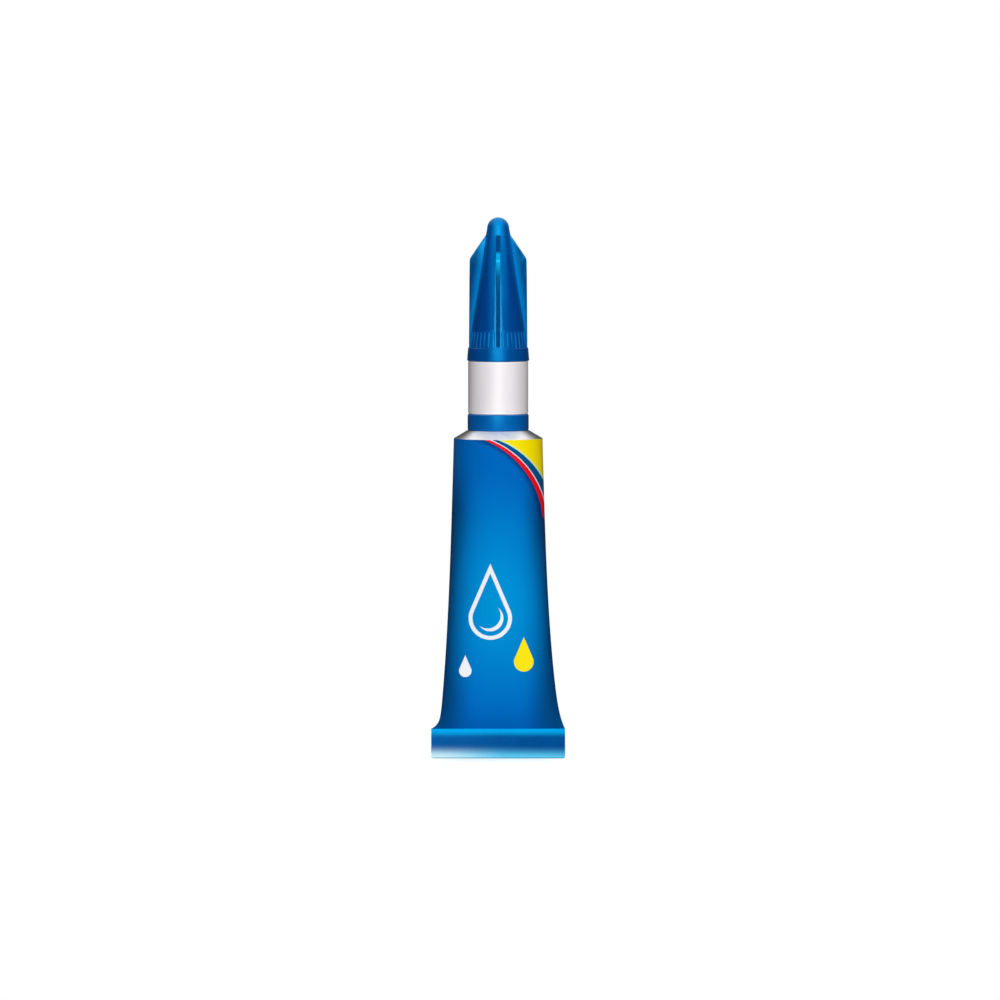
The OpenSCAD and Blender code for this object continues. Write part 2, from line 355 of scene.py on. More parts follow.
def folded_end():
    """The end of the wall: one ply led down, round the foot, up the front and back inside."""
    half = PLY / 2
    bend_r = PLY_PITCH / 2
    front = -2 * PLY_PITCH
    crest = FOLD_TOP - half - bend_r
    foot = half + bend_r
    crown = 0.1
    crown_steps = 10
    let_go()
    bpy.ops.mesh.primitive_plane_add(size=1, location=(0, 0, FOLD_TOP * mm))
    strip = named("folded_end", (2 * FOLD_HALF, PLY, 1))
    bpy.ops.object.mode_set(mode="EDIT")
    bpy.ops.mesh.select_all(action="SELECT")

    def lead(y, z):
        bpy.ops.mesh.extrude_region_move(TRANSFORM_OT_translate={"value": (0, y * mm, z * mm)})

    def bend(y, z, degrees, steps):
        for _ in range(steps):
            bpy.ops.mesh.extrude_region_move(TRANSFORM_OT_translate={"value": (0, 0, 0)})
            bpy.ops.transform.rotate(
                value=math.radians(-degrees / steps), orient_axis="X",
                center_override=(0, y * mm, z * mm))

    lead(0, foot - FOLD_TOP)
    bend(-bend_r, foot, -90, 6)
    lead(front + 2 * bend_r, 0)
    bend(front + bend_r, foot, -90, 6)
    bulge = [-crown * (1 - (2 * i / crown_steps - 1) ** 2) for i in range(crown_steps + 1)]
    for last, y in zip(bulge, bulge[1:]):
        lead(y - last, (crest - foot) / crown_steps)
    bend(front + bend_r, crest, 180, 10)
    lead(0, PLY_PITCH - crest)
    heal(strip)

    bpy.ops.object.mode_set(mode="EDIT")
    for hand in (-1, 1):
        for degrees in (10, 30, 50, 70):
            out = math.cos(math.radians(degrees))
            down = math.sin(math.radians(degrees))
            place = (hand * (FOLD_HALF - FOLD_CORNER_R * (1 - out)), FOLD_CORNER_R * (1 - down))
            cut_off(place, (hand * out, -down))
    heal(strip)
    return strip


def bare_head():
    """The shoulder and the threaded neck, closed by its membrane."""
    under = 49.2
    under_r = 4.7
    rim_r = 6.15
    seat_r = 4.72
    membrane = 0.25
    dish_r = 2.5
    dish = 0.1
    edge = 0.2
    core_r = NECK_R - THREAD_DEPTH
    profile = [(NECK_BORE_R, NECK_TOP - membrane), (NECK_BORE_R, under), (under_r, under)]
    profile += [(rim_r, WALL_TOP), (TUBE_R, WALL_TOP), (seat_r, SEAT)]
    profile += [(core_r + edge, SEAT), (core_r, SEAT + edge), (core_r, NECK_TOP - 0.25)]
    profile += [(core_r - edge, NECK_TOP), (dish_r, NECK_TOP)]
    profile += [(dish_r - 0.15, NECK_TOP - dish), (0.3, NECK_TOP - dish)]
    head = turned("bare_head", profile, filled=True)
    return united(head, thread_ridge("neck_thread", core_r - 0.1, NECK_R, SEAT + 0.7, NECK_PITCH, 4.5))


def clip_ring():
    """The safety ring with its rounded edges and the lip that clips into the collar."""
    edge = 0.25
    profile = [(RING_BORE_R, SEAT)]
    profile += arc(RING_R - edge, SEAT + edge, edge, -90, 0, 6)
    profile += arc(RING_R - edge, COLLAR_FOOT - edge, edge, 0, 90, 6)
    profile += [(LIP_R, COLLAR_FOOT), (LIP_R, LIP_TOP - 0.35), (LIP_R + BEAD, LIP_TOP - 0.18)]
    profile += [(LIP_R, LIP_TOP), (RING_BORE_R, LIP_TOP), (RING_BORE_R, SEAT)]
    return turned("clip_ring", profile)


def white_nozzle():
    """The collar, the thread for the cap, the spout and the hollow spike."""
    edge = 0.15
    core_r = STUB_R - THREAD_DEPTH
    socket_r = LIP_R + TURN_GAP
    socket_top = LIP_TOP + TURN_GAP
    bore_r = NECK_R + TURN_GAP
    spike_tip = NECK_TOP + 0.3
    spike_tip_r = 0.65
    spike_foot_r = 1.5
    spout_foot_r = 2.2
    spout_tip_r = 1.15
    tip_edge = 0.1
    stub_edge = 0.2
    ceiling = CAP_FOOT - 0.6
    profile = [(socket_r, COLLAR_FOOT), (COLLAR_R - edge, COLLAR_FOOT), (COLLAR_R, COLLAR_FOOT + edge)]
    profile += [(COLLAR_R, CAP_FOOT - edge), (COLLAR_R - edge, CAP_FOOT), (core_r, CAP_FOOT)]
    profile += [(core_r, STUB_TOP - stub_edge), (core_r - stub_edge, STUB_TOP)]
    profile += [(spout_foot_r + edge, STUB_TOP), (spout_foot_r, STUB_TOP + edge)]
    profile += [(spout_tip_r, SPOUT_TOP - tip_edge), (spout_tip_r - tip_edge, SPOUT_TOP)]
    profile += [(SPOUT_BORE_R, SPOUT_TOP), (SPOUT_BORE_R, spike_tip), (spike_tip_r, spike_tip)]
    profile += [(spike_foot_r, ceiling), (bore_r, ceiling)]
    profile += [(bore_r, socket_top), (socket_r, socket_top), (socket_r + BEAD, COLLAR_FOOT + 0.5)]
    profile += [(socket_r, COLLAR_FOOT + 0.3), (socket_r, COLLAR_FOOT)]
    nozzle = turned("white_nozzle", profile)
    return united(nozzle, thread_ridge("cap_thread", core_r - 0.1, STUB_R, CAP_FOOT + 0.4, CAP_PITCH, 1.75))


def tip_seal():
    """The soft washer on the spout's tip."""
    bore_r = PIN_R + TURN_GAP
    profile = [(bore_r, SPOUT_TOP), (SEAL_R, SPOUT_TOP), (SEAL_R, SEAL_TOP)]
    profile += [(bore_r, SEAL_TOP), (bore_r, SPOUT_TOP)]
    return eased(turned("tip_seal", profile, sides=64), 0.15, steps=4)


def wire_pin():
    """The pointed pin that keeps the spout's bore open."""
    edge = 0.08
    profile = [(0.06, PIN_FOOT), (0.3, PIN_FOOT + 0.5), (0.38, PIN_FOOT + 0.75), (PIN_R, PIN_FOOT + 1)]
    profile += [(PIN_R, PIN_TOP - edge), (PIN_R - edge, PIN_TOP)]
    return turned("wire_pin", profile, sides=32, filled=True)


def cap_wing():
    """One wing of the cap: a blade cut to its outline and thinned towards its edge."""
    blank_r = 2.9
    blank_z = 71
    blank_size = (4, WING_T, 19)
    edge_share = 0.8
    corner_cut = 0.35
    foot_r = CONE_FOOT_R + 0.03
    root_r = CONE_FOOT_R - 0.4
    let_go()
    bpy.ops.mesh.primitive_cube_add(size=1, location=(blank_r * mm, 0, blank_z * mm))
    wing = named("cap_wing", blank_size)
    bpy.ops.object.mode_set(mode="EDIT")
    select_where(wing, lambda x, y, z: x > blank_r)
    bpy.ops.transform.resize(value=(1, edge_share, 1), center_override=(0, 0, 0))
    cut_off((foot_r, CONE_FOOT), (WING_CORNER - CONE_FOOT, foot_r - WING_CORNER_R))
    cut_off((WING_CORNER_R, WING_CORNER), (WING_TOP - WING_CORNER, WING_CORNER_R - TIP_R))
    cut_off((root_r, CONE_FOOT), (CONE_FOOT - CONE_TOP, CONE_TOP_R - CONE_FOOT_R))
    bpy.ops.object.mode_set(mode="OBJECT")
    heal(wing)
    bpy.ops.object.mode_set(mode="EDIT")
    select_where(wing, lambda x, y, z: x > WING_CORNER_R - 0.15 and abs(z - WING_CORNER) < 0.05)
    bpy.ops.mesh.bevel(offset=corner_cut * mm, segments=6, affect="EDGES")
    bpy.ops.object.mode_set(mode="OBJECT")
    return eased(wing, 0.12, steps=4, sharper_than=20)


def grip_rib():
    """One grip rib, leaning with the cone and half a radius proud of it, with a rounded top."""
    lean = math.atan2(CONE_FOOT_R - CONE_TOP_R, CONE_TOP - CONE_FOOT)
    middle = RIB_TOP - RIB_LEN / 2
    middle_r = CONE_FOOT_R - RIB_R / 2 - (middle - CONE_FOOT) * math.sin(lean)
    let_go()
    bpy.ops.mesh.primitive_cylinder_add(
        vertices=12, radius=RIB_R * mm, depth=RIB_LEN * mm, rotation=(0, -lean, 0),
        location=(middle_r * mm, 0, middle * mm))
    rib = named("grip_rib")
    return eased(rib, 0.1, steps=3, sharper_than=50)


def winged_cap():
    """The cap: a hollow cone on a flange, with its wings and ribs."""
    edge = 0.08
    lead_in = 0.15
    bore_r = STUB_R + TURN_GAP
    bore_top = STUB_TOP + 0.2
    seat_r = SEAL_R + TURN_GAP
    pin_hole_r = PIN_R + TURN_GAP
    room_r = 3.15
    tip_foot_r = 1.84
    tip_foot = 79.9
    profile = arc(0, CAP_TOP - TIP_R, TIP_R, 84, 0, 12)
    profile += [(tip_foot_r, tip_foot), (CONE_TOP_R, CONE_TOP), (CONE_FOOT_R, CONE_FOOT)]
    profile += [(FLANGE_TOP_R - edge, CONE_FOOT), (FLANGE_TOP_R, CONE_FOOT - edge)]
    profile += [(FLANGE_R, CAP_FOOT + 0.2), (FLANGE_R, CAP_FOOT + edge), (FLANGE_R - edge, CAP_FOOT)]
    profile += [(bore_r + lead_in, CAP_FOOT), (bore_r, CAP_FOOT + lead_in), (bore_r, bore_top)]
    profile += [(room_r, bore_top), (seat_r, SPOUT_TOP - 1.2), (seat_r, SEAL_TOP)]
    profile += [(pin_hole_r, SEAL_TOP), (pin_hole_r, PIN_TOP)]
    cap = turned("winged_cap", profile, sides=144, filled=True)
    free_places = [i for i in range(RIB_PLACES) if i % (RIB_PLACES // WINGS)]
    united(cap, copies_round(grip_rib(), [360 / RIB_PLACES * i for i in free_places]))
    return united(cap, copies_round(cap_wing(), [360 / WINGS * i for i in range(WINGS)]))


# Finishes

# Gloss on blue lacquer and blue plastic takes the colour under it
BLUE_GLOSS = (0.03, 0.55, 1.0, 1)


def ink(red, green, blue):
    """A colour as seen on screen, from 0 to 255, in Blender's linear light."""
    shares = [value / 255 for value in (red, green, blue)]
    return [s / 12.92 if s <= 0.04045 else ((s + 0.055) / 1.055) ** 2.4 for s in shares] + [1]


class Finish:
    """A material whose nodes are added one by one. Its x, y and z are the place in millimetres."""

    def __init__(self, name):
        self.material = bpy.data.materials.new(name)
        self.material.use_nodes = True
        self.tree = self.material.node_tree
        self.shader = self.tree.nodes["Principled BSDF"]
        self.place = self.add("ShaderNodeTexCoord").outputs["Object"]
        axes = self.add("ShaderNodeSeparateXYZ")
        self.join(self.place, axes.inputs[0])
        self.x, self.y, self.z = [self.calc("DIVIDE", axis, mm) for axis in axes.outputs]

    def add(self, kind, **settings):
        node = self.tree.nodes.new(kind)
        for key, value in settings.items():
            setattr(node, key, value)
        return node

    def join(self, value, socket):
        if isinstance(value, bpy.types.NodeSocket):
            self.tree.links.new(value, socket)
        else:
            socket.default_value = value

    def calc(self, operation, first, second=0.0, clamp=False):
        node = self.add("ShaderNodeMath", operation=operation, use_clamp=clamp)
        self.join(first, node.inputs[0])
        self.join(second, node.inputs[1])
        return node.outputs[0]

    def plus(self, first, second):
        return self.calc("ADD", first, second)

    def minus(self, first, second):
        return self.calc("SUBTRACT", first, second)

    def times(self, first, *others):
        for other in others:
            first = self.calc("MULTIPLY", first, other)
        return first

    def length(self, first, second):
        """The straight distance over two distances at right angles."""
        return self.calc("SQRT", self.plus(self.times(first, first), self.times(second, second)))

    def across(self):
        """Distance from the upright axis."""
        return self.length(self.x, self.y)

    def between(self, value, low, high, start=0.0, end=1.0):
        """Runs smoothly from start to end as a value goes from low to high."""
        node = self.add("ShaderNodeMapRange", interpolation_type="SMOOTHSTEP", clamp=True)
        for socket, given in zip(node.inputs, (value, low, high, start, end)):
            self.join(given, socket)
        return node.outputs[0]

    def fading(self, value, low, high):
        """Runs smoothly from 1 to 0 as a value goes from low to high."""
        return self.between(value, low, high, 1.0, 0.0)

    def noise(self, size, stretch=(1, 1, 1), detail=3.0):
        """Noise with spots of about a size in millimetres, drawn out along the axes."""
        mapping = self.add("ShaderNodeMapping")
        self.join(self.place, mapping.inputs["Vector"])
        mapping.inputs["Scale"].default_value = [1 / (size * mm * s) for s in stretch]
        node = self.add("ShaderNodeTexNoise")
        self.join(mapping.outputs[0], node.inputs["Vector"])
        node.inputs["Scale"].default_value = 1
        node.inputs["Detail"].default_value = detail
        node.inputs["Roughness"].default_value = 0.5
        return node.outputs[0]

    def spread(self, noise, start=0.0, end=1.0):
        """Noise, which lies mostly between 0.3 and 0.7, drawn out to run from start to end."""
        return self.between(noise, 0.3, 0.7, start, end)

    def blend(self, share, under, over):
        node = self.add("ShaderNodeMix", data_type="RGBA")
        self.join(share, node.inputs["Factor"])
        self.join(under, node.inputs["A"])
        self.join(over, node.inputs["B"])
        return node.outputs["Result"]

    def bump(self, height, depth, strength):
        """Raises the surface by a height that goes from 0 to 1, over a depth in millimetres."""
        node = self.add("ShaderNodeBump")
        node.inputs["Strength"].default_value = strength
        node.inputs["Distance"].default_value = depth * mm
        self.join(height, node.inputs["Height"])
        self.join(node.outputs[0], self.shader.inputs["Normal"])

    def set(self, **values):
        for key, value in values.items():
            self.join(value, self.shader.inputs[key.replace("_", " ")])
        return self.material


def corner_arc(finish, middle_x, middle_z, radius, end):
    """Distance to the upper right of an arc printed across the corner. Below a height above its middle
    the arc leans out to the wall's edge."""
    up = finish.minus(finish.z, middle_z)
    x = finish.calc("MAXIMUM", finish.minus(finish.x, middle_x), 0.0)
    z = finish.calc("MAXIMUM", up, 0.0)
    below = finish.calc("MINIMUM", finish.minus(up, end), 0.0)
    return finish.plus(finish.minus(finish.length(x, z), radius), finish.times(below, 0.5))


def from_point(finish, middle_x, middle_z):
    """Distances from a point of the print: sideways, upwards and straight."""
    x = finish.calc("ABSOLUTE", finish.minus(finish.x, middle_x))
    z = finish.minus(finish.z, middle_z)
    return x, z, finish.length(x, z)


def disc(finish, middle_x, middle_z, radius):
    """Distance out from a printed disc."""
    return finish.minus(from_point(finish, middle_x, middle_z)[2], radius)


def drop(finish, middle_x, middle_z, radius, tip):
    """Distance out from a printed drop, which is round below and drawn up to a tip."""
    x, z, belly = from_point(finish, middle_x, middle_z)
    rise = radius / tip
    run = math.sqrt(1 - rise * rise)
    flank = finish.plus(finish.times(x, run), finish.times(z, rise))
    upper = finish.calc("GREATER_THAN", finish.times(z, run), finish.times(x, rise))
    out = finish.plus(belly, finish.times(upper, finish.minus(flank, belly)))
    return finish.minus(out, radius)


def lacquer_blue(finish):
    """The blue print, a little uneven, with a painted highlight in the middle of each face and painted shade
    along its edges and just above the fold.
    """
    height = finish.z
    glow_foot, glow_middle, glow_top = 4, 24, 46
    half_width = finish.minus(9.34, finish.times(height, 0.05))
    outward = finish.calc("DIVIDE", finish.calc("ABSOLUTE", finish.x), half_width)
    # Painted shade: the print darkens towards the wall's left and right edges, less so high up where the
    # round wall shades itself.
    painted_rim_shade = finish.times(finish.between(outward, 0.35, 1.0), finish.between(height, 36, 47, 1.0, 0.1))
    colour = finish.blend(painted_rim_shade, ink(0, 101, 188), ink(0, 46, 94))
    # Painted shade just above the fold, under its crest.
    shade_above_fold = finish.between(height, FOLD_TOP, FOLD_TOP + 4, 0.35, 0.0)
    colour = finish.blend(shade_above_fold, colour, ink(0, 66, 136))
    # Painted highlight: the print is palest in the middle of each face, most at mid height.
    flat = finish.calc("SUBTRACT", 1.0, finish.times(outward, outward), clamp=True)
    inward = finish.calc("POWER", flat, 1.5)
    along = finish.times(
        finish.between(height, glow_foot, glow_middle), finish.fading(height, glow_middle, glow_top))
    cloud = finish.spread(finish.noise(9, stretch=(1, 1, 2.5)), -0.05, 0.05)
    glow = finish.calc("ADD", finish.times(inward, along), cloud, clamp=True)
    return finish.blend(glow, colour, ink(0, 148, 216))


def printed_lacquer():
    """The wall's finish: blue lacquer, drops on its faces and the striped corner at the top right."""
    finish = Finish("printed_lacquer")
    blue = lacquer_blue(finish)
    white = ink(243, 245, 250)
    yellow = ink(255, 232, 0)

    def over(edge, at, under, top):
        """The top colour from a distance outwards."""
        return finish.blend(finish.between(edge, at - 0.04, at + 0.04), under, top)

    great_drop = drop(finish, *GREAT_DROP)
    colour = over(great_drop, 0.0, white, blue)
    colour = over(great_drop, -DROP_LINE, blue, colour)
    drop_x, drop_z = GREAT_DROP[:2]
    bowl = disc(finish, drop_x, drop_z, GLINT_R)
    shifted_bowl = disc(finish, drop_x - GLINT_SHIFT, drop_z + GLINT_SHIFT, GLINT_R)
    glint = finish.calc("MAXIMUM", bowl, finish.times(shifted_bowl, -1.0))
    colour = over(glint, 0.0, white, colour)
    colour = over(drop(finish, *YELLOW_DROP), 0.0, yellow, colour)
    colour = over(drop(finish, *SMALL_DROP), 0.0, white, colour)
    red_edge = corner_arc(finish, *RED_EDGE)
    first_line = corner_arc(finish, *FIRST_LINE)
    second_line = corner_arc(finish, *SECOND_LINE)
    shade = finish.between(red_edge, -1.0, 0.0, 0.0, 0.85)
    colour = finish.blend(shade, colour, ink(0, 46, 100))
    colour = over(red_edge, -0.05, colour, ink(240, 14, 32))
    colour = over(first_line, -0.06, colour, white)
    colour = over(first_line, 0.06, colour, ink(0, 82, 138))
    colour = over(second_line, -0.14, colour, ink(206, 240, 186))
    colour = over(second_line, 0.06, colour, yellow)
    scuff = finish.noise(0.5, stretch=(1, 1, 6), detail=4)
    rough = finish.between(scuff, 0.35, 0.75, 0.3, 0.42)
    finish.bump(finish.noise(2.6, stretch=(1, 1, 1.6), detail=4), 0.05, 0.5)
    return finish.set(
        Base_Color=colour, Roughness=rough, Specular_IOR_Level=0.3, Specular_Tint=BLUE_GLOSS)


def folded_lacquer():
    """The fold's finish: the same lacquer, with a painted highlight along the crest, and pale at the foot,
    where it is rubbed and where a painted reflection of the white floor lies on it.
    """
    finish = Finish("folded_lacquer")
    side = finish.x
    wander = finish.times(finish.minus(finish.noise(2.5, stretch=(3, 1, 1)), 0.5), 0.3)
    wavy_height = finish.plus(finish.z, wander)
    deep = finish.blend(finish.between(side, -8, 9), ink(8, 80, 150), ink(0, 58, 126))
    colour = finish.blend(finish.spread(finish.noise(5), 0.0, 0.3), deep, ink(0, 92, 166))
    # Painted highlight along the crest.
    crest = finish.between(wavy_height, FOLD_TOP - 1.4, FOLD_TOP - 0.05)
    colour = finish.blend(crest, colour, ink(0, 162, 226))
    # The pale foot is partly rubbed lacquer and partly a painted reflection of the white floor, palest at
    # the left.
    foot_wear_and_reflection = finish.blend(finish.between(side, -10, 2), ink(200, 240, 253), ink(94, 207, 246))
    foot = finish.plus(wavy_height, finish.times(side, 0.01))
    foot_wear_and_reflection_share = finish.fading(foot, 0.1, 2.5)
    colour = finish.blend(finish.times(foot_wear_and_reflection_share, foot_wear_and_reflection_share), colour, foot_wear_and_reflection)
    scuff = finish.noise(0.4, stretch=(8, 1, 1), detail=4)
    finish.bump(scuff, 0.015, 0.3)
    return finish.set(
        Base_Color=colour, Roughness=finish.spread(scuff, 0.28, 0.4), Specular_IOR_Level=0.2,
        Specular_Tint=BLUE_GLOSS)


def bare_aluminium():
    """Bare aluminium, with the fine rings that turning leaves, and painted shade towards the shoulder's left
    and right sides.
    """
    finish = Finish("bare_aluminium")
    ring_fineness = 52
    along_profile = finish.plus(finish.across(), finish.z)
    lines = finish.calc("SINE", finish.times(along_profile, ring_fineness))
    dull = finish.noise(1.2, detail=4)
    colour = finish.blend(finish.spread(dull), ink(242, 242, 244), ink(250, 250, 251))
    # Painted shade: the shoulder darkens towards its left and right sides.
    sideways = finish.calc("DIVIDE", finish.calc("ABSOLUTE", finish.x), finish.across())
    on_shoulder = finish.fading(finish.z, SEAT, SEAT + 0.1)
    painted_side_shade = finish.times(on_shoulder, finish.between(sideways, 0.62, 0.97))
    colour = finish.blend(painted_side_shade, colour, ink(126, 127, 128))
    finish.bump(lines, 0.002, 0.4)
    return finish.set(Base_Color=colour, Metallic=0.6, Roughness=finish.spread(dull, 0.3, 0.38))


def moulded_blue(name, gloss):
    """Glossy blue plastic with rubbed spots. Its flow marks are left to each piece's colour."""
    finish = Finish(name)
    flow = finish.noise(3, stretch=(1, 1, 4))
    rubbed = finish.noise(0.35, stretch=(1, 1, 3), detail=4)
    finish.bump(rubbed, 0.003, 0.25)
    finish.set(Specular_IOR_Level=gloss, Specular_Tint=BLUE_GLOSS)
    return finish, flow, rubbed


def ring_blue():
    """The ring's plastic."""
    finish, flow, rubbed = moulded_blue("ring_blue", 1.0)
    colour = finish.blend(finish.spread(flow), ink(0, 78, 150), ink(0, 86, 160))
    return finish.set(Base_Color=colour, Roughness=finish.between(rubbed, 0.35, 0.75, 0.38, 0.46))


def cone_blue(finish, beside):
    """The blue of the cap's flange and cone, with a painted highlight close beside the middle plane of a
    wing and towards the tip, and painted shade beside a wing just above the ribs.
    """
    height = finish.z
    tip_start, tip_end = 77.0, 81.5
    # Painted highlight: the blue beside the wings is paler higher up and palest at the tip.
    pale = finish.blend(finish.between(height, 63.0, 73.0), ink(0, 92, 164), ink(0, 110, 184))
    pale = finish.blend(finish.between(height, tip_start, tip_end), pale, ink(0, 126, 200))
    # Painted shade beside a wing just above the ribs.
    over_ribs = finish.between(height, RIB_TOP - 0.15, RIB_TOP + 0.65)
    shaded = finish.times(over_ribs, finish.fading(height, 67.0, 72.5), finish.fading(beside, 0.6, 1.1))
    pale = finish.blend(shaded, pale, ink(0, 62, 134))
    reach = finish.between(height, tip_start, tip_end, 1.9, 1.3)
    # Painted highlight close beside a wing's middle plane; the cone is deep blue away from it.
    cone = finish.blend(finish.fading(beside, 0.3, reach), ink(0, 60, 132), pale)
    # Painted highlight on the flange beside each wing.
    flange = finish.blend(finish.fading(beside, 0.1, 1.8), ink(0, 64, 132), ink(0, 108, 180))
    return finish.blend(finish.between(height, CONE_FOOT, CONE_FOOT + 0.4), flange, cone)


def cap_blue():
    """The cap's plastic: with a painted highlight on the rib crests, and on a wing a painted highlight at
    the root, painted shade along the edge and a painted highlight at the corner."""
    finish, flow, rubbed = moulded_blue("cap_blue", 0.6)
    height = finish.z
    beside = finish.calc("MINIMUM", finish.calc("ABSOLUTE", finish.x), finish.calc("ABSOLUTE", finish.y))

    def line(low_r, low_z, high_r, high_z):
        """Radius at this height on a straight line between two points of the outline."""
        lean = (high_r - low_r) / (high_z - low_z)
        return finish.plus(finish.times(height, lean), low_r - low_z * lean)

    cone = line(CONE_FOOT_R, CONE_FOOT, CONE_TOP_R, CONE_TOP)
    side = line(CONE_FOOT_R, CONE_FOOT, WING_CORNER_R, WING_CORNER)
    slope = line(WING_CORNER_R, WING_CORNER, TIP_R, WING_TOP)
    span = finish.calc("MAXIMUM", finish.minus(finish.calc("MINIMUM", side, slope), cone), 0.05)
    out = finish.minus(finish.across(), cone)
    share = finish.calc("DIVIDE", out, span)
    above = finish.between(height, CONE_FOOT, CONE_FOOT + 0.4)

    marks = finish.between(flow, 0.35, 0.65, 0.0, 0.12)
    colour = finish.blend(marks, cone_blue(finish, beside), ink(0, 88, 170))
    # Painted highlight on the crests of the ribs.
    rib_crest_highlight = finish.times(
        finish.between(out, 0.04, 0.09), finish.between(beside, 0.8, 2.8, 0.8, 0.1),
        finish.fading(height, RIB_TOP - 0.25, RIB_TOP + 0.05), above)
    colour = finish.blend(rib_crest_highlight, colour, ink(0, 124, 196))
    on_wing = finish.times(
        above, finish.fading(height, WING_TOP - 0.4, WING_TOP - 0.2), finish.fading(beside, 0.4, 0.46))
    # Painted highlight at the root of a wing, paler higher up.
    root = finish.times(on_wing, finish.between(out, 0.0, 0.08))
    lit_root = finish.blend(finish.between(height, 64.0, 71.0), ink(0, 98, 168), ink(0, 110, 181))
    colour = finish.blend(root, colour, lit_root)
    # Painted shade along the outer edge of a wing.
    wing_edge_shade = finish.calc("MAXIMUM", finish.between(out, 0.1, 1.25), finish.between(share, 0.86, 0.97))
    colour = finish.blend(finish.times(on_wing, wing_edge_shade), colour, ink(0, 50, 108))
    # Painted highlight at the corner of a wing.
    corner_highlight = finish.times(
        finish.between(height, WING_CORNER - 3.1, WING_CORNER + 0.1),
        finish.fading(height, WING_CORNER + 0.7, WING_CORNER + 1.3),
        on_wing, finish.between(share, 0.93, 0.98))
    colour = finish.blend(corner_highlight, colour, ink(0, 156, 216))

    gloss = finish.between(rubbed, 0.35, 0.75, 0.17, 0.23)
    dull_foot = finish.times(
        finish.minus(1.0, on_wing), finish.between(height, RIB_TOP - 0.15, RIB_TOP + 0.65, 0.2, 0.0))
    dull_tip = finish.between(height, WING_TOP - 0.8, WING_TOP, 0.0, 0.22)
    return finish.set(
        Base_Color=colour, Roughness=finish.plus(gloss, finish.plus(dull_foot, dull_tip)))


def moulded_white():
    """Satin white plastic, with a painted highlight on the collar's two rims."""
    finish = Finish("moulded_white")
    height = finish.z
    flow = finish.noise(4, stretch=(1, 1, 3))
    colour = finish.blend(finish.spread(flow), ink(226, 221, 226), ink(232, 228, 232))
    # Painted highlight along the collar's bottom and top rims.
    low_rim = finish.fading(height, COLLAR_FOOT + 0.15, COLLAR_FOOT + 0.3)
    high_rim = finish.times(
        finish.between(height, CAP_FOOT - 0.3, CAP_FOOT - 0.15),
        finish.fading(height, CAP_FOOT + 0.05, CAP_FOOT + 0.1))
    rims = finish.times(finish.plus(low_rim, high_rim), 0.9)
    colour = finish.blend(rims, colour, ink(252, 251, 252))
    grain = finish.noise(0.18, detail=4)
    finish.bump(grain, 0.012, 0.3)
    return finish.set(
        Base_Color=colour, Roughness=finish.spread(grain, 0.36, 0.44), Specular_IOR_Level=1.0)


def soft_rubber():
    """Soft pale rubber."""
    finish = Finish("soft_rubber")
    grain = finish.noise(0.2, detail=4)
    colour = finish.blend(grain, ink(205, 205, 200), ink(226, 226, 220))
    finish.bump(grain, 0.015, 0.5)
    return finish.set(Base_Color=colour, Roughness=finish.spread(grain, 0.6, 0.8))


def drawn_wire():
    """Steel wire with lines along its length."""
    finish = Finish("drawn_wire")
    lines = finish.noise(0.06, stretch=(1, 1, 40))
    colour = finish.blend(lines, ink(190, 190, 195), ink(216, 216, 220))
    finish.bump(lines, 0.004, 0.5)
    return finish.set(Base_Color=colour, Metallic=1.0, Roughness=finish.spread(lines, 0.2, 0.36))


def clear_glue():
    """Clear liquid with a faint yellow tint."""
    finish = Finish("clear_glue")
    haze = finish.noise(6, detail=2)
    colour = finish.blend(haze, ink(246, 246, 236), ink(250, 250, 246))
    return finish.set(
        Base_Color=colour, Roughness=finish.spread(haze, 0.02, 0.06), Transmission_Weight=1.0, IOR=1.44)


def dressed(piece, material, body, node):
    """Give a piece its finish and its body, in place of its solid."""
    pick(piece)
    piece.data.materials.clear()
    piece.data.materials.append(material)
    bpy.ops.object.shade_smooth_by_angle(angle=math.radians(30))
    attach(piece, body)
    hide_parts(node)


dressed(printed_wall(), printed_lacquer(), "tube", "tube_wall")
dressed(folded_end(), folded_lacquer(), "tube", "end_fold")
dressed(bare_head(), bare_aluminium(), "tube", "tube_head")
dressed(liquid_glue(), clear_glue(), "tube", "glue")
dressed(clip_ring(), ring_blue(), "safety_ring", "safety_ring")
dressed(white_nozzle(), moulded_white(), "nozzle", "nozzle")
dressed(tip_seal(), soft_rubber(), "spout_seal", "spout_seal")
dressed(wire_pin(), drawn_wire(), "sealing_pin", "sealing_pin")
dressed(winged_cap(), cap_blue(), "cap", "cap")


# Floor, light and camera

def seen_directly(tree):
    """1 where a surface is seen, also in gloss and glass, and 0 where it only lights the object."""
    path = tree.nodes.new("ShaderNodeLightPath")
    seen = path.outputs["Is Camera Ray"]
    for ray in ("Is Transmission Ray", "Is Glossy Ray"):
        either = tree.nodes.new("ShaderNodeMath")
        either.operation = "MAXIMUM"
        tree.links.new(seen, either.inputs[0])
        tree.links.new(path.outputs[ray], either.inputs[1])
        seen = either.outputs[0]
    return seen


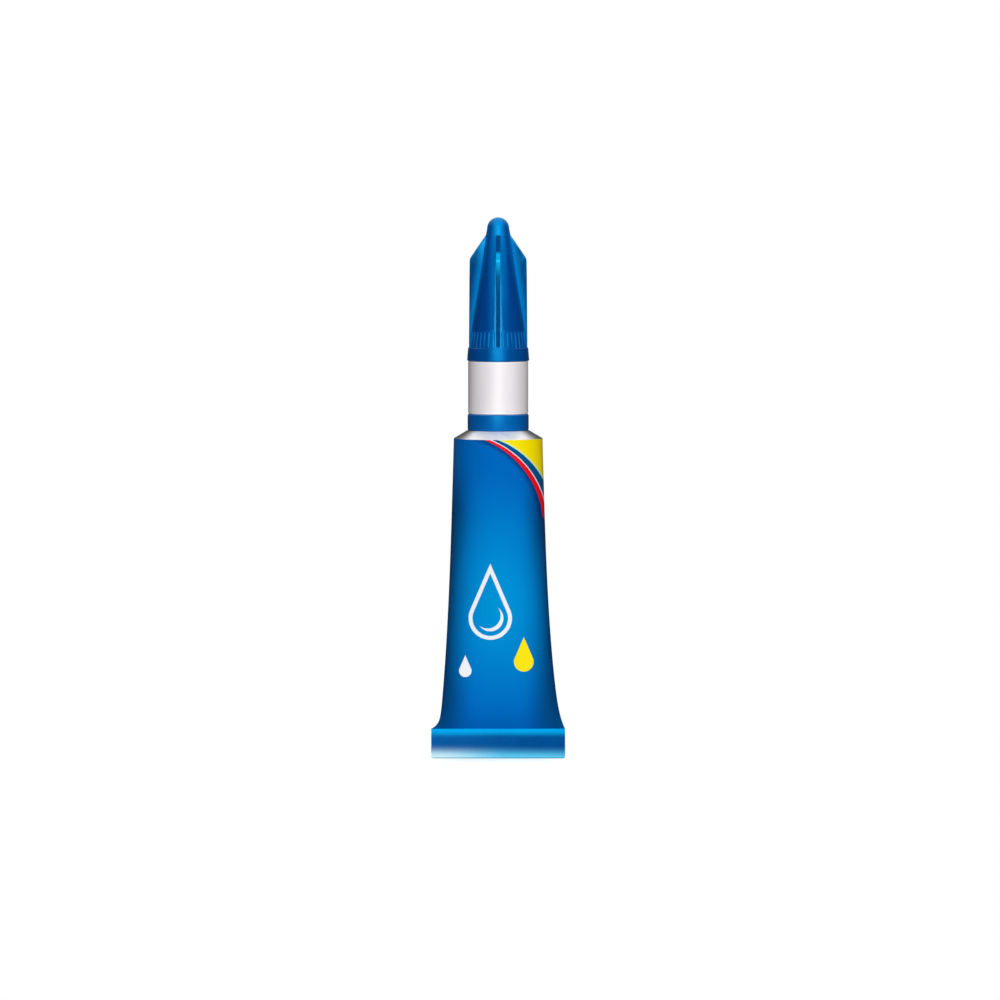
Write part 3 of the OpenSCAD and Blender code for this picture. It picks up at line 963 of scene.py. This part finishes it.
def studio_floor():
    """A white floor that keeps the shadow near the object and runs out into the white behind it, with a
    faint painted reflection of the fold's blue just in front of it."""
    let_go()
    bpy.ops.mesh.primitive_circle_add(
        vertices=96, radius=FLOOR_R * mm, fill_type="NGON", location=(0, 0, 0))
    floor = named("studio_floor")
    finish = Finish("floor_white")
    tree = finish.tree
    near = finish.fading(finish.across(), FULL_SHADOW_R, SHADOW_END_R)
    level = finish.between(near, 0.0, 1.0, 1.0, 0.93)
    # Painted reflection of the fold's blue on the floor just in front of it.
    tint = finish.times(
        finish.fading(finish.calc("ABSOLUTE", finish.x), 5, 11),
        finish.between(finish.y, -11, -0.5), finish.fading(finish.y, 0, 1))
    glow = finish.add("ShaderNodeEmission")
    finish.join(finish.times(seen_directly(tree), level), glow.inputs["Strength"])
    finish.join(finish.blend(tint, (1, 1, 1, 1), ink(222, 244, 248)), glow.inputs["Color"])
    matt = finish.add("ShaderNodeBsdfDiffuse")
    finish.join(finish.blend(near, (0, 0, 0, 1), (0.13, 0.13, 0.13, 1)), matt.inputs["Color"])
    lit = finish.add("ShaderNodeAddShader")
    tree.links.new(glow.outputs[0], lit.inputs[0])
    tree.links.new(matt.outputs[0], lit.inputs[1])
    tree.links.new(lit.outputs[0], tree.nodes["Material Output"].inputs["Surface"])
    tree.nodes.remove(finish.shader)
    floor.data.materials.append(finish.material)


def white_world():
    """White where it is seen, also in gloss and glass, and a plain grey where it lights the object."""
    world = bpy.data.worlds.new("white_world")
    world.use_nodes = True
    bpy.context.scene.world = world
    tree = world.node_tree
    back = tree.nodes["Background"]
    span = tree.nodes.new("ShaderNodeMapRange")
    span.inputs["To Min"].default_value = WORLD_LEVEL
    tree.links.new(seen_directly(tree), span.inputs["Value"])
    tree.links.new(span.outputs[0], back.inputs["Strength"])
    back.inputs["Color"].default_value = (1, 1, 1, 1)


def softbox(name, place, aim, width, height, power):
    """A soft lamp turned towards an object."""
    let_go()
    bpy.ops.object.light_add(type="AREA", location=[length * mm for length in place])
    lamp = bpy.context.object
    lamp.name = name
    lamp.data.shape = "RECTANGLE"
    lamp.data.size = width * mm
    lamp.data.size_y = height * mm
    lamp.data.energy = power
    away = lamp.location - aim.location
    lamp.rotation_euler = away.to_track_quat("Z", "Y").to_euler()
    return lamp


def lamps():
    """A large softbox in front, and a weak fill from the right that leaves no reflection."""
    let_go()
    bpy.ops.object.empty_add(location=[length * mm for length in LAMP_AIM])
    aim = bpy.context.object
    aim.name = "lamp_aim"
    softbox("front_softbox", (0, -1060, 380), aim, width=700, height=420, power=11.8)
    fill = softbox("right_fill", (950, -600, 300), aim, width=400, height=400, power=1.6)
    fill.visible_glossy = False


def photo_camera():
    """The camera of the photograph: far away, almost level and straight in front."""
    let_go()
    rise = math.radians(CAMERA_RISE)
    back = CAMERA_DISTANCE * math.cos(rise)
    up = CAMERA_DISTANCE * math.sin(rise)
    bpy.ops.object.camera_add(
        location=(CAMERA_AIM[0] * mm, -back * mm, (CAMERA_AIM[2] + up) * mm),
        rotation=(math.radians(90) - rise, 0, 0))
    camera = bpy.context.object
    camera.name = "photo_camera"
    camera.data.sensor_width = SENSOR
    camera.data.lens = SENSOR * CAMERA_DISTANCE / VIEW_WIDTH
    bpy.context.scene.camera = camera


def screen(name, radius, height):
    """A dark screen round the object, which the camera doesn't see."""
    let_go()
    bpy.ops.mesh.primitive_cylinder_add(
        vertices=64, radius=radius * mm, depth=height * mm, end_fill_type="NOTHING",
        location=(0, 0, height / 2 * mm))
    felt = named(name)
    felt.visible_camera = False
    finish = Finish(name + "_felt")
    felt.data.materials.append(finish.set(Base_Color=(0.04, 0.04, 0.045, 1), Roughness=1.0))
    return felt


def dark_screens():
    """A far screen all round, and close behind the object one that only its gloss shows, so that its
    edges stand out from the white."""
    screen("far_screen", radius=1300, height=600)
    flag = screen("edge_flag", radius=FLAG_R, height=150)
    flag.visible_diffuse = False
    flag.visible_transmission = False
    flag.visible_shadow = False
    bpy.ops.object.mode_set(mode="EDIT")
    select_where(flag, lambda x, y, z: y < -FLAG_R / 2)
    bpy.ops.mesh.delete(type="VERT")
    bpy.ops.object.mode_set(mode="OBJECT")


studio_floor()
dark_screens()
white_world()
lamps()
photo_camera()
bpy.context.scene.view_settings.view_transform = "Standard"
